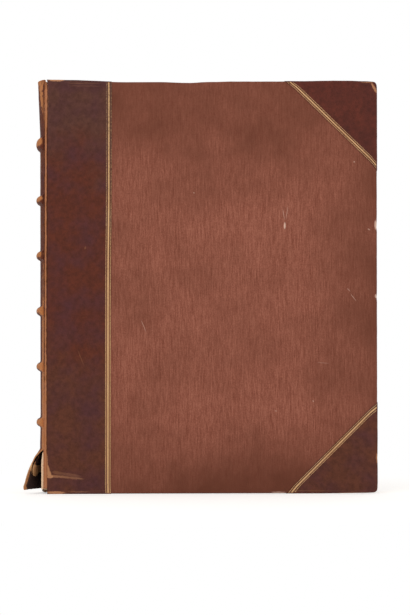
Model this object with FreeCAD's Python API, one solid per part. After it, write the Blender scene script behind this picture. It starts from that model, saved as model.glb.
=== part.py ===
import FreeCAD, Part
import math
import os

# An antique half-leather book, standing on the tail edges of its covers.
# +X runs from the spine to the fore-edge, +Y from the front cover to the back cover, +Z from the tail
# to the head. All lengths are in millimetres. While it is modelled, X = 0 is the line where both covers
# hinge; the finished pieces are then slid along X so that the origin is under the middle of the book.

Vector = FreeCAD.Vector

# Covers, measured over their leather
COVER_HEIGHT = 330.0
COVER_WIDTH = 264.0
COVER_CORNER_RADIUS = 3.0
COVER_EDGE_RADIUS = 0.8
BOARD_THICKNESS = 3.6
LEATHER_THICKNESS = 0.9
CLOTH_THICKNESS = 0.6
TURN_IN_WIDTH = 14.0
TURN_IN_THICKNESS = 0.5
TURN_IN_MARGIN = 4.0
PASTEDOWN_THICKNESS = 0.3

# Leather strip beside the spine and leather corners, to the middle of their gilt fillets
STRIP_FILLET_X = 48.6
FILLET_TO_LEATHER_EDGE = 2.4
HEAD_CORNER_ALONG_HEAD = 71.0
HEAD_CORNER_ALONG_FORE_EDGE = 68.0
TAIL_CORNER_ALONG_TAIL = 70.0
TAIL_CORNER_ALONG_FORE_EDGE = 69.5

# Gilt fillets: one thick line between two thin ones, each pressed into the leather
THICK_LINE_WIDTH = 1.0
THIN_LINE_WIDTH = 0.5
LINE_SPACING = 1.95
GROOVE_DEPTH = 0.25
GILT_THICKNESS = 0.1

# Leaves and endpapers
TEXT_THICKNESS = 30.0
SQUARE_WIDTH = 3.5
ENDPAPER_THICKNESS = 0.3
FORE_EDGE_HOLLOW = 2.6
COVER_TO_LEAVES_GAP = 0.3

# Spine, seen across the book
JOINT_WIDTH = 2.6
SPINE_ROUND = 3.2
LINING_THICKNESS = 0.5
HINGE_CLEARANCE = 0.15
HEAD_FLARE_LENGTH = 43.0
HEAD_FLARE = 1.8
HEADCAP_DEPTH = 2.8
HEADCAP_THICKNESS = 1.0

# Raised bands: sewing cords under the leather
BAND_COUNT = 6
TAIL_TO_LOWEST_BAND = 56.8
HIGHEST_BAND_TO_HEAD = 51.2
CORD_RADIUS = 2.7
BAND_HEIGHT = 3.2
BAND_FOOT_RADIUS = 1.6
BAND_END_INSET = 0.6
BAND_ROOT_DEPTH = 0.4
CORD_CLEARANCE = 0.02
LINING_TO_BAND_GAP = 0.6

# Cord ends laced into the boards
SLIP_LENGTH = 22.0
SLIP_WIDTH = 6.0
SLIP_THICKNESS = 0.8

# Endbands at the head and tail of the leaves
ENDBAND_SETBACK = 1.5
ENDBAND_CLEARANCE = 0.1

# Tear at the tail of the spine, where the leather has come off the front joint and swung out
TEAR_TOP_Z = 35.8
FLAP_TAIL_Z = 3.4
FLAP_TAIL_CURVE = -0.3
FLAP_EASE = 0.6
FLAP_ROWS = 13
TORN_EDGE_LOSS = 1.2
FRONT_EDGE_TAIL_Z = 5.0
SCRAP_START = 15.0
SCRAP_END = 39.0
SCRAP_TAIL_Z = 13.0
SCRAP_TIP_SHARE = 0.35
SCRAP_CLEARANCE = 0.1

# Depths below a cover's outer face
BOARD_INNER_DEPTH = LEATHER_THICKNESS + BOARD_THICKNESS
TURN_IN_INNER_DEPTH = BOARD_INNER_DEPTH + TURN_IN_THICKNESS
COVER_INNER_DEPTH = TURN_IN_INNER_DEPTH + PASTEDOWN_THICKNESS

# Distances from the middle of the thickness
LEAVES_HALF = TEXT_THICKNESS / 2
ENDPAPER_HALF = LEAVES_HALF + ENDPAPER_THICKNESS
COVER_OUTER_HALF = ENDPAPER_HALF + COVER_TO_LEAVES_GAP + COVER_INNER_DEPTH
SHOULDER_HALF = COVER_OUTER_HALF - LEATHER_THICKNESS

# Spine arc, through both joint corners and the top of the round
SPINE_RADIUS = (COVER_OUTER_HALF**2 + SPINE_ROUND**2) / (2 * SPINE_ROUND)
SPINE_CENTRE_X = SPINE_RADIUS - SPINE_ROUND - JOINT_WIDTH
SPINE_HALF_ANGLE = math.asin(COVER_OUTER_HALF / SPINE_RADIUS)
LEATHER_INNER_RADIUS = SPINE_RADIUS - LEATHER_THICKNESS
LEAVES_SPINE_RADIUS = LEATHER_INNER_RADIUS - LINING_THICKNESS
FLAP_LENGTH = 2 * SPINE_RADIUS * SPINE_HALF_ANGLE - TORN_EDGE_LOSS
ENDBAND_RADIUS = (SQUARE_WIDTH - HEADCAP_THICKNESS - ENDBAND_CLEARANCE) / 2

LEAVES_TAIL_Z = SQUARE_WIDTH
LEAVES_HEAD_Z = COVER_HEIGHT - SQUARE_WIDTH
LEAVES_FORE_X = COVER_WIDTH - SQUARE_WIDTH
HEAD_FLARE_START_Z = COVER_HEIGHT - HEAD_FLARE_LENGTH
BAND_PITCH = (COVER_HEIGHT - TAIL_TO_LOWEST_BAND - HIGHEST_BAND_TO_HEAD) / (BAND_COUNT - 1)
BAND_HEIGHTS = [TAIL_TO_LOWEST_BAND + BAND_PITCH * i for i in range(BAND_COUNT)]
FLAP_ROW_STEP = (TEAR_TOP_Z - FLAP_TAIL_Z) / (FLAP_ROWS - 1)
FLAP_HEIGHTS = [TEAR_TOP_Z - FLAP_ROW_STEP * i for i in range(FLAP_ROWS)]
REACH = 2 * (COVER_WIDTH + COVER_HEIGHT)


def box(x0, x1, y0, y1, z0, z1):
    """A block between two corners."""
    return Part.makeBox(x1 - x0, y1 - y0, z1 - z0, Vector(x0, y0, z0))


def mirrored(shape):
    """The same piece on the back cover's side."""
    return shape.mirror(Vector(0, 0, 0), Vector(0, 1, 0))


def joined(*stretches):
    """A closed outline: arcs, given as three points, and lone points, joined in order by straight lines."""
    edges = []
    for stretch, following in zip(stretches, stretches[1:] + stretches[:1]):
        if len(stretch) > 1:
            edges.append(Part.Arc(*stretch).toShape())
        edges.append(Part.makeLine(stretch[-1], following[0]))
    return Part.Wire(edges)


def panel(inset, depth0, depth1, radius):
    """A front cover layer: inset from the cover's edges, between two depths, its fore-edge corners round."""
    x0, x1 = HINGE_CLEARANCE, COVER_WIDTH - inset
    z0, z1 = inset, COVER_HEIGHT - inset
    y = -COVER_OUTER_HALF + depth0
    bulge = radius * (1 - math.sqrt(0.5))
    tail_corner = (
        Vector(x1 - radius, y, z0),
        Vector(x1 - bulge, y, z0 + bulge),
        Vector(x1, y, z0 + radius),
    )
    head_corner = (
        Vector(x1, y, z1 - radius),
        Vector(x1 - bulge, y, z1 - bulge),
        Vector(x1 - radius, y, z1),
    )
    outline = joined([Vector(x0, y, z0)], tail_corner, head_corner, [Vector(x0, y, z1)])
    return Part.Face(outline).extrude(Vector(0, depth1 - depth0, 0))


def covering(thickness):
    """A sheet glued round the front board, turned in over the head, tail and fore-edge."""
    inset = LEATHER_THICKNESS - thickness
    outside = panel(inset, inset, TURN_IN_INNER_DEPTH, COVER_CORNER_RADIUS - inset)
    outer_y = -COVER_OUTER_HALF + inset
    rim = [
        edge
        for edge in outside.Edges
        if edge.BoundBox.YMax < outer_y + COVER_EDGE_RADIUS and edge.BoundBox.XMax > COVER_WIDTH / 2
    ]
    outside = outside.makeFillet(COVER_EDGE_RADIUS, rim)
    window = box(
        0,
        COVER_WIDTH - TURN_IN_WIDTH,
        -COVER_OUTER_HALF + BOARD_INNER_DEPTH,
        0,
        TURN_IN_WIDTH,
        COVER_HEIGHT - TURN_IN_WIDTH,
    )
    return outside.cut(plain_board()).cut(window)


def plain_board():
    """The front board before its recesses are cut."""
    return panel(
        LEATHER_THICKNESS,
        LEATHER_THICKNESS,
        BOARD_INNER_DEPTH,
        COVER_CORNER_RADIUS - LEATHER_THICKNESS,
    )


def slips():
    """The flattened cord ends that lace the front board to the spine."""
    y = -COVER_OUTER_HALF + LEATHER_THICKNESS
    return [
        box(
            HINGE_CLEARANCE,
            HINGE_CLEARANCE + SLIP_LENGTH,
            y,
            y + SLIP_THICKNESS,
            z - SLIP_WIDTH / 2,
            z + SLIP_WIDTH / 2,
        )
        for z in BAND_HEIGHTS
    ]


def corner_lines():
    """For each leather corner, where its middle gilt line meets the cover's edges."""
    head = (
        Vector(COVER_WIDTH - HEAD_CORNER_ALONG_HEAD, 0, COVER_HEIGHT),
        Vector(COVER_WIDTH, 0, COVER_HEIGHT - HEAD_CORNER_ALONG_FORE_EDGE),
    )
    tail = (
        Vector(COVER_WIDTH - TAIL_CORNER_ALONG_TAIL, 0, 0),
        Vector(COVER_WIDTH, 0, TAIL_CORNER_ALONG_FORE_EDGE),
    )
    return {"head": head, "tail": tail}


def bar(start, end, offset0, offset1, depth0, depth1):
    """A long bar beside the line from start to end, between two offsets towards the fore-edge."""
    along = (end - start).normalize()
    side = math.copysign(1, along.z)
    across = Vector(side * along.z, 0, -side * along.x)
    base = start + Vector(0, depth0 - COVER_OUTER_HALF, 0)
    corners = [
        base - along * REACH + across * offset0,
        base + along * REACH + across * offset0,
        base + along * REACH + across * offset1,
        base - along * REACH + across * offset1,
    ]
    face = Part.Face(Part.makePolygon(corners + corners[:1]))
    return face.extrude(Vector(0, depth1 - depth0, 0))


def corner_region(line):
    """All of the cover that a leather corner takes, past its cut edge."""
    return bar(*line, -FILLET_TO_LEATHER_EDGE, REACH, -REACH, REACH)


def strip_line():
    """The middle gilt line of the leather strip, from tail to head."""
    return Vector(STRIP_FILLET_X, 0, 0), Vector(STRIP_FILLET_X, 0, COVER_HEIGHT)


def fillet_bars(line, depth0, depth1):
    """Thin, thick and thin bars along a gilt fillet, ending where the cover's edge turns down."""
    flat = panel(COVER_EDGE_RADIUS, 0, GROOVE_DEPTH, COVER_CORNER_RADIUS - COVER_EDGE_RADIUS)
    widths = {-LINE_SPACING: THIN_LINE_WIDTH, 0.0: THICK_LINE_WIDTH, LINE_SPACING: THIN_LINE_WIDTH}
    return [
        bar(*line, middle - width / 2, middle + width / 2, depth0, depth1).common(flat)
        for middle, width in widths.items()
    ]


def grooved(leather, line):
    """The leather with its tooled lines pressed in."""
    for groove in fillet_bars(line, 0, GROOVE_DEPTH):
        leather = leather.cut(groove)
    return leather


def gilt(line):
    """The gold leaf at the bottom of the tooled lines."""
    return Part.makeCompound(fillet_bars(line, GROOVE_DEPTH - GILT_THICKNESS, GROOVE_DEPTH))


def cover_pieces():
    """Every piece of the front cover."""
    leather = covering(LEATHER_THICKNESS)
    cloth = covering(CLOTH_THICKNESS)
    lines = corner_lines()
    regions = {name: corner_region(line) for name, line in lines.items()}
    strip_edge_x = STRIP_FILLET_X + FILLET_TO_LEATHER_EDGE
    strip_region = box(-REACH, strip_edge_x, -REACH, REACH, -REACH, REACH)

    board = plain_board()
    for slip in slips():
        board = board.cut(slip)

    cloth = cloth.cut(strip_region)
    for region in regions.values():
        cloth = cloth.cut(region)

    pieces = {
        "board": board,
        "lacing_slips": Part.makeCompound(slips()),
        "cloth_side": cloth,
        "spine_side_leather": grooved(leather.common(strip_region), strip_line()),
        "spine_side_gilt_fillet": gilt(strip_line()),
        "pastedown": pastedown(),
    }
    for name, line in lines.items():
        pieces[f"{name}_corner_leather"] = grooved(leather.common(regions[name]), line)
        pieces[f"{name}_corner_gilt_fillet"] = gilt(line)
    return pieces


def pastedown():
    """The paper inside the front cover, level between the turn-ins and lapped over their edges."""
    y = -COVER_OUTER_HALF
    infill = box(
        HINGE_CLEARANCE,
        COVER_WIDTH - TURN_IN_WIDTH,
        y + BOARD_INNER_DEPTH,
        y + TURN_IN_INNER_DEPTH,
        TURN_IN_WIDTH,
        COVER_HEIGHT - TURN_IN_WIDTH,
    )
    sheet = box(
        HINGE_CLEARANCE,
        COVER_WIDTH - TURN_IN_MARGIN,
        y + TURN_IN_INNER_DEPTH,
        y + COVER_INNER_DEPTH,
        TURN_IN_MARGIN,
        COVER_HEIGHT - TURN_IN_MARGIN,
    )
    return infill.fuse(sheet).removeSplitter()


def spine_arc(z, inset, half_width, flare=0.0):
    """Three points round the spine at one height, front to back, inset from the leather's face."""
    sag = SPINE_ROUND + flare
    face_radius = (COVER_OUTER_HALF**2 + sag**2) / (2 * sag)
    centre_x = face_radius - sag - JOINT_WIDTH
    radius = face_radius - inset
    end_x = centre_x - math.sqrt(radius**2 - half_width**2)
    return Vector(end_x, -half_width, z), Vector(centre_x - radius, 0, z), Vector(end_x, half_width, z)


def text_block():
    """The sewn leaves: round spine with shoulders for the boards, and a hollow fore-edge."""
    z = LEAVES_TAIL_Z
    shoulder_x = -HINGE_CLEARANCE
    fore_edge = (
        Vector(LEAVES_FORE_X, -LEAVES_HALF, z),
        Vector(LEAVES_FORE_X - FORE_EDGE_HOLLOW, 0, z),
        Vector(LEAVES_FORE_X, LEAVES_HALF, z),
    )
    outline = joined(
        spine_arc(z, LEATHER_THICKNESS + LINING_THICKNESS, SHOULDER_HALF)[::-1],
        [Vector(shoulder_x, -SHOULDER_HALF, z)],
        [Vector(shoulder_x, -LEAVES_HALF, z)],
        fore_edge,
        [Vector(shoulder_x, LEAVES_HALF, z)],
        [Vector(shoulder_x, SHOULDER_HALF, z)],
    )
    return Part.Face(outline).extrude(Vector(0, 0, LEAVES_HEAD_Z - LEAVES_TAIL_Z))


def endpaper():
    """The free endpaper that lies on the front of the leaves."""
    return box(
        HINGE_CLEARANCE,
        LEAVES_FORE_X,
        -ENDPAPER_HALF,
        -LEAVES_HALF,
        LEAVES_TAIL_Z,
        LEAVES_HEAD_Z,
    )


def around_spine(profile, half_angle):
    """A face in the X-Z plane, swept round the spine's arc to both sides of the middle."""
    axis = Vector(SPINE_CENTRE_X, 0, 0)
    degrees = math.degrees(half_angle)
    start = profile.copy()
    start.rotate(axis, Vector(0, 0, 1), -degrees)
    return start.revolve(axis, Vector(0, 0, 1), 2 * degrees)


def spine_rectangle(radius0, radius1, z0, z1):
    """A face in the X-Z plane between two radii of the spine's arc."""
    x0, x1 = SPINE_CENTRE_X - radius1, SPINE_CENTRE_X - radius0
    corners = [Vector(x0, 0, z0), Vector(x1, 0, z0), Vector(x1, 0, z1), Vector(x0, 0, z1)]
    return Part.Face(Part.makePolygon(corners + corners[:1]))


def half_angle_at(radius, half_width):
    """How far round an arc of this radius stays within a half width."""
    return math.asin(half_width / radius)


def cord_profile(clearance=0.0):
    """One sewing cord, flat where it lies on the leaves; clearance grows it into its channel."""
    centre_x = SPINE_CENTRE_X - SPINE_RADIUS - BAND_HEIGHT + LEATHER_THICKNESS + CORD_RADIUS
    ring = Part.makeCircle(CORD_RADIUS + clearance, Vector(centre_x, 0, 0), Vector(0, 1, 0))
    leaves = spine_rectangle(0, LEAVES_SPINE_RADIUS, -BAND_PITCH, BAND_PITCH)
    return Part.Face(Part.Wire([ring])).cut(leaves)


def band_profile():
    """The leather ridge over a cord: a round top that runs out into the spine in two hollows."""
    spine_x = SPINE_CENTRE_X - SPINE_RADIUS
    top_radius = CORD_RADIUS + LEATHER_THICKNESS
    rise = BAND_FOOT_RADIUS + top_radius - BAND_HEIGHT
    foot = math.sqrt((top_radius + BAND_FOOT_RADIUS) ** 2 - rise**2)
    lean = math.atan2(rise, foot)
    turn = (lean + math.pi / 2) / 2

    def at(height, z):
        return Vector(spine_x - height, 0, z)

    touch_z = top_radius * math.cos(lean)
    touch_height = BAND_HEIGHT - top_radius * (1 - math.sin(lean))
    hollow_z = foot - BAND_FOOT_RADIUS * math.cos(turn)
    hollow_height = BAND_FOOT_RADIUS * (1 - math.sin(turn))
    tail_foot, tail_touch = at(0, -foot), at(touch_height, -touch_z)
    head_foot, head_touch = at(0, foot), at(touch_height, touch_z)
    root = [head_foot, at(-BAND_ROOT_DEPTH, foot), at(-BAND_ROOT_DEPTH, -foot), tail_foot]
    edges = [
        Part.Arc(tail_foot, at(hollow_height, -hollow_z), tail_touch).toShape(),
        Part.Arc(tail_touch, at(BAND_HEIGHT, 0), head_touch).toShape(),
        Part.Arc(head_touch, at(hollow_height, hollow_z), head_foot).toShape(),
        *Part.makePolygon(root).Edges,
    ]
    return Part.Face(Part.Wire(edges))


def band_angle():
    """How far round the spine the bands run, ending short of the covers' outer faces."""
    return half_angle_at(SPINE_RADIUS + BAND_HEIGHT, COVER_OUTER_HALF - BAND_END_INSET)


def cord_along_spine(z, clearance=0.0):
    """A raised band's cord at one height, ending a leather's thickness short of the band."""
    angle = band_angle() - half_angle_at(SPINE_RADIUS, LEATHER_THICKNESS)
    cord = around_spine(cord_profile(clearance), angle)
    cord.translate(Vector(0, 0, z))
    return cord


def spine_lining():
    """Paper panels glued between the cords, and the scrap of the tail one that hangs on the torn leather."""
    cord_half = CORD_RADIUS + LINING_TO_BAND_GAP
    tops = [z - cord_half for z in BAND_HEIGHTS] + [LEAVES_HEAD_Z]
    feet = [TEAR_TOP_Z] + [z + cord_half for z in BAND_HEIGHTS]
    angle = half_angle_at(LEAVES_SPINE_RADIUS, SHOULDER_HALF - LEATHER_THICKNESS)
    panels = [
        around_spine(spine_rectangle(LEAVES_SPINE_RADIUS, LEATHER_INNER_RADIUS, foot, top), angle)
        for foot, top in zip(feet, tops)
    ]
    return Part.makeCompound(panels + [lining_scrap()])


def curve_at(z):
    """The torn flap's curvature at a height: the spine's own at the top, opening fast and then slowly."""
    share = ((TEAR_TOP_Z - z) / (TEAR_TOP_Z - FLAP_TAIL_Z)) ** FLAP_EASE
    return (1 + (FLAP_TAIL_CURVE - 1) * share) / SPINE_RADIUS


def flap_point(z, along, depth):
    """A point on the torn leather: how far along it from the back joint, and how deep below its face."""
    curve = curve_at(z)
    lean = SPINE_HALF_ANGLE - curve * along
    x = -JOINT_WIDTH - (math.cos(lean) - math.cos(SPINE_HALF_ANGLE)) / curve
    y = COVER_OUTER_HALF + (math.sin(lean) - math.sin(SPINE_HALF_ANGLE)) / curve
    return Vector(x + depth * math.cos(lean), y - depth * math.sin(lean), z)


def flap_section(z, start, end, depth0, depth1):
    """A closed outline across the flap at one height."""
    middle = (start + end) / 2
    outer = [flap_point(z, along, depth0) for along in (start, middle, end)]
    inner = [flap_point(z, along, depth1) for along in (end, middle, start)]
    return joined(outer, inner)


def torn_flap():
    """The spine leather below the tear, swung out from the front joint."""
    sections = [flap_section(z, 0, FLAP_LENGTH, 0, LEATHER_THICKNESS) for z in FLAP_HEIGHTS]
    return Part.makeLoft(sections, True, True)


def lining_scrap():
    """A tongue of the lining, still glued to the inside of the flap."""
    depth0 = LEATHER_THICKNESS + SCRAP_CLEARANCE
    depth1 = depth0 + LINING_THICKNESS
    heights = [z for z in FLAP_HEIGHTS[1:] if z >= SCRAP_TAIL_Z]
    top, foot = heights[0], heights[-1]
    middle = (SCRAP_START + SCRAP_END) / 2
    sections = []
    for z in heights:
        bulge = math.sin(math.pi * (top - z) / (top - foot))
        half = (SCRAP_END - SCRAP_START) / 2 * (SCRAP_TIP_SHARE + (1 - SCRAP_TIP_SHARE) * bulge)
        sections.append(flap_section(z, middle - half, middle + half, depth0, depth1))
    return Part.makeLoft(sections, True, True)


def spine_section(z, flare=0.0):
    """The outline of the spine leather at one height, with the joint strips at its two edges."""
    edge_x = -HINGE_CLEARANCE
    return joined(
        spine_arc(z, 0, COVER_OUTER_HALF, flare),
        [Vector(edge_x, COVER_OUTER_HALF, z)],
        [Vector(edge_x, SHOULDER_HALF, z)],
        spine_arc(z, LEATHER_THICKNESS, SHOULDER_HALF, flare)[::-1],
        [Vector(edge_x, -SHOULDER_HALF, z)],
        [Vector(edge_x, -COVER_OUTER_HALF, z)],
    )


def joint_strip(z0, z1):
    """The front edge of the spine leather, over the shoulder; mirrored it is the back one."""
    inner = spine_arc(z0, LEATHER_THICKNESS, SHOULDER_HALF)[0]
    corners = [
        [Vector(-HINGE_CLEARANCE, -COVER_OUTER_HALF, z0)],
        [Vector(-JOINT_WIDTH, -COVER_OUTER_HALF, z0)],
        [inner],
        [Vector(-HINGE_CLEARANCE, -SHOULDER_HALF, z0)],
    ]
    return Part.Face(joined(*corners)).extrude(Vector(0, 0, z1 - z0))


def headcap():
    """The leather turned over the head endband."""
    z = COVER_HEIGHT - HEADCAP_THICKNESS
    half_width = SHOULDER_HALF - LEATHER_THICKNESS
    lip = LEATHER_THICKNESS + HEADCAP_DEPTH
    flare = HEAD_FLARE * (z - HEAD_FLARE_START_Z) / HEAD_FLARE_LENGTH
    outline = joined(spine_arc(z, 0, half_width, flare), spine_arc(z, lip, half_width)[::-1])
    cap = Part.Face(outline).extrude(Vector(0, 0, HEADCAP_THICKNESS))
    return cap.common(box(-REACH, -HINGE_CLEARANCE, -REACH, REACH, 0, REACH))


def spine_leather():
    """The leather over the spine, one piece with its bands, headcap and torn tail."""
    back = Part.Face(spine_section(TEAR_TOP_Z)).extrude(Vector(0, 0, HEAD_FLARE_START_Z - TEAR_TOP_Z))
    head = Part.makeLoft(
        [spine_section(HEAD_FLARE_START_Z), spine_section(COVER_HEIGHT, HEAD_FLARE)], True, True
    )
    parts = [
        head,
        headcap(),
        torn_flap(),
        joint_strip(FRONT_EDGE_TAIL_Z, TEAR_TOP_Z),
        mirrored(joint_strip(0, TEAR_TOP_Z)),
    ]
    for z in BAND_HEIGHTS:
        ridge = around_spine(band_profile(), band_angle())
        ridge.translate(Vector(0, 0, z))
        parts.append(ridge)
    leather = back.multiFuse(parts).removeSplitter()
    for z in BAND_HEIGHTS:
        leather = leather.cut(cord_along_spine(z, CORD_CLEARANCE))
    return leather


def endband(z):
    """A silk-wound core at one end of the leaves, behind the spine."""
    radius = LEAVES_SPINE_RADIUS - ENDBAND_SETBACK
    ring = Part.makeCircle(ENDBAND_RADIUS, Vector(SPINE_CENTRE_X - radius, 0, z), Vector(0, 1, 0))
    return around_spine(Part.Face(Part.Wire([ring])), half_angle_at(radius, LEAVES_HALF))


def spine_pieces():
    """Every piece that stays with the leaves."""
    pieces = {
        "text_block": text_block(),
        "front_free_endpaper": endpaper(),
        "back_free_endpaper": mirrored(endpaper()),
        "spine_leather": spine_leather(),
        "spine_lining": spine_lining(),
        "head_endband": endband(LEAVES_HEAD_Z + ENDBAND_RADIUS),
        "tail_endband": endband(LEAVES_TAIL_Z - ENDBAND_RADIUS),
    }
    for number, z in enumerate(BAND_HEIGHTS, start=1):
        pieces[f"sewing_cord_{number}"] = cord_along_spine(z)
    return pieces


def slide_to_origin():
    """How far the pieces slide along X to put the origin under the middle of the book."""
    outermost_x = flap_point(FLAP_TAIL_Z, FLAP_LENGTH, 0).x
    return Vector(-(COVER_WIDTH + outermost_x) / 2, 0, 0)


def main():
    """Builds every piece and writes one file for each."""
    pieces = spine_pieces()
    for name, shape in cover_pieces().items():
        pieces[f"front_{name}"] = shape
        pieces[f"back_{name}"] = mirrored(shape)
    os.makedirs("parts", exist_ok=True)
    slide = slide_to_origin()
    for name, shape in pieces.items():
        shape.translate(slide)
        shape.exportStep(f"parts/{name}.step")
        print(f"{name}: {len(shape.Solids)} solids, {shape.Volume:.1f} mm3, valid {shape.isValid()}")
    print(f"slid by {slide.x:.3f} mm")


main()
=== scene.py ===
"""An antique half-leather book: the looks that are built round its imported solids.

Sizes are in millimetres in the book's own frame, as in its plan: x runs from the hinge line to the
fore-edge, y from the front cover to the back, z up from the tail. Blender gets them in metres.
"""

import logging
import math
from dataclasses import dataclass, field
from enum import Enum
from functools import partial
from typing import Any, Callable, Optional, Union

import bmesh
import bpy
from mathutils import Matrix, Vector, noise


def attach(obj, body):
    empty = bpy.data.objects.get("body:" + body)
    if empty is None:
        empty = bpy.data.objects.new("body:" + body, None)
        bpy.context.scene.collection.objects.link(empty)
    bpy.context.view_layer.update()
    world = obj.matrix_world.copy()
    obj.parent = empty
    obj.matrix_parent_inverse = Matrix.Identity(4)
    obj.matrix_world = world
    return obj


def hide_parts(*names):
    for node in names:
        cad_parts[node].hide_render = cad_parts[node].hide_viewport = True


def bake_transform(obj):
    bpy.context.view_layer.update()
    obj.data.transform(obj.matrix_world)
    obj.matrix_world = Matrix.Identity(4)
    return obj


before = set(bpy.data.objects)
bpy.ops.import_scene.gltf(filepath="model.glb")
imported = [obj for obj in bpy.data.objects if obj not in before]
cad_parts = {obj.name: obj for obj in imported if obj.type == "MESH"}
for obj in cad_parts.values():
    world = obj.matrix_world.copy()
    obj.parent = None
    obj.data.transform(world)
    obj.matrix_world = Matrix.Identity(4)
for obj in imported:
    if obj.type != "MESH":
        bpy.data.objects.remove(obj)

LOG = logging.getLogger("book")
MM = 0.001
HINGE_X = -122.822
COVER_HALF = 20.9
COVER_HEIGHT = 330.0
COVER_WIDTH = 264.0
BAND_HEIGHTS = (56.8, 101.2, 145.6, 190.0, 234.4, 278.8)
SPINE_EDGE = -2.7
NOTCH_FOOT = COVER_HEIGHT - 5.6
NOTCH_TOP = COVER_HEIGHT - 0.5
EDGE_PAPER_WIDTH = 4.6
EDGE_PAPER_LENGTH = COVER_HEIGHT - 8.0
EDGE_PAPER_THICKNESS = 0.05
FLAP_OUTWARD = Vector((-1.0, 0.35, 0.0))
SCRAP_FOOT = 13.0
SCRAP_TIP_X = -10.3
RAG_WIDTH = 2.2
CLOTH_STAIN_WIDTH = 50.0
WAVE_SCALE = 20.0

Material = bpy.types.Material
Tree = bpy.types.NodeTree
Socket = bpy.types.NodeSocket
Piece = bpy.types.Object
Input = Union[float, tuple[float, ...], Socket]
Adder = Callable[..., Socket]
Mover = Callable[[Vector], Vector]


class Axis(Enum):
    """The direction in which a mesh is cut into slices."""

    X = 0
    Y = 1
    Z = 2


class Side(Enum):
    """Which cover a piece belongs to."""

    FRONT = "front"
    BACK = "back"

    @property
    def outward(self) -> float:
        """The sign of y on this side of the book."""
        return -1.0 if self is Side.FRONT else 1.0


def place(x: float, y: float, z: float) -> Vector:
    """A point of the book in Blender's frame.

    Args:
        x: distance from the hinge line, in millimetres.
        y: depth from the middle of the book, in millimetres.
        z: height above the tail, in millimetres.

    Returns:
        The point in metres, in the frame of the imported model.
    """
    return Vector(((x + HINGE_X) * MM, y * MM, z * MM))


def in_book(point: Vector) -> Vector:
    """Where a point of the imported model's frame is in the book, in millimetres."""
    return Vector((point.x / MM - HINGE_X, point.y / MM, point.z / MM))


def ease(low: float, high: float, value: float) -> float:
    """A smooth step from 0 at low to 1 at high.

    Args:
        low: the value at which the step starts.
        high: the value at which it is complete, which may be the smaller.
        value: the value that is looked at.

    Returns:
        A share from 0 to 1.
    """
    share = min(1.0, max(0.0, (value - low) / (high - low)))
    return share * share * (3 - 2 * share)


def rough(point: Vector, width: float, seed: float = 0.0) -> float:
    """Even, repeatable unevenness for hand-made surfaces.

    Args:
        point: a point in the book, in millimetres.
        width: the width of one swelling, in millimetres.
        seed: a number that gives another pattern.

    Returns:
        A height from about -1 to 1.
    """
    return noise.noise(point / width + Vector((seed, seed * 1.7, -seed)))


def linear(code: str) -> tuple[float, float, float, float]:
    """A colour as Blender's sockets take it.

    Args:
        code: an sRGB hex value, such as #8a5143.

    Returns:
        Its linear red, green and blue, and an alpha of one.
    """
    channels = [int(code[start : start + 2], 16) / 255 for start in (1, 3, 5)]
    low = [c / 12.92 if c <= 0.04045 else ((c + 0.055) / 1.055) ** 2.4 for c in channels]
    return (low[0], low[1], low[2], 1.0)


def per_metre(width: float) -> float:
    """The scale that makes one feature of a texture this many millimetres wide."""
    return 1 / (width * MM)


def add_node(
    tree: Tree, kind: str, inputs: Optional[dict[Union[int, str], Input]] = None,
    output: Optional[str] = None, **settings: Any) -> Socket:
    """Adds a shader node with its settings and links.

    Args:
        tree: the node tree of the material or the world.
        kind: the node's type, without its leading ShaderNode.
        inputs: what goes into each socket, as a value or as the socket that is linked to it.
        output: the output that is wanted, if it isn't the first one in use.
        settings: the node's own properties.

    Returns:
        That output, or nothing for a node that has none.
    """
    node = tree.nodes.new("ShaderNode" + kind)
    for name, setting in settings.items():
        setattr(node, name, setting)
    for key, given in (inputs or {}).items():
        if isinstance(given, Socket):
            tree.links.new(given, node.inputs[key])
        else:
            node.inputs[key].default_value = given
    if output:
        return node.outputs[output]
    return next((socket for socket in node.outputs if socket.enabled), None)


@dataclass(frozen=True)
class Mark:
    """One worn, scraped or chipped place, as a long soft spot with a ragged edge.

    Args:
        centre: its middle in the book, in millimetres.
        reach: how far it goes from there along x, y and z before it is turned.
        turn: how far it is turned in the plane of the cover, in degrees.
        strength: how bare the place is, from 0 to 1.
    """

    centre: tuple[float, float, float]
    reach: tuple[float, float, float]
    turn: float = 0.0
    strength: float = 1.0


def on_front(x0: float, z0: float, x1: float, z1: float, width: float, strength: float = 1.0) -> Mark:
    """A mark drawn as a stroke on the front cover.

    Args:
        x0: start of the stroke, from the hinge line.
        z0: start of the stroke, above the tail.
        x1: end of the stroke, from the hinge line.
        z1: end of the stroke, above the tail.
        width: full width of the stroke.
        strength: how bare the place is, from 0 to 1.

    Returns:
        The mark, through the thickness of the covering.
    """
    half = math.hypot(x1 - x0, z1 - z0) / 2 + width / 2
    angle = math.degrees(math.atan2(z1 - z0, x1 - x0))
    return Mark(((x0 + x1) / 2, -COVER_HALF, (z0 + z1) / 2), (half, 6.0, width / 2), -angle, strength)


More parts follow.
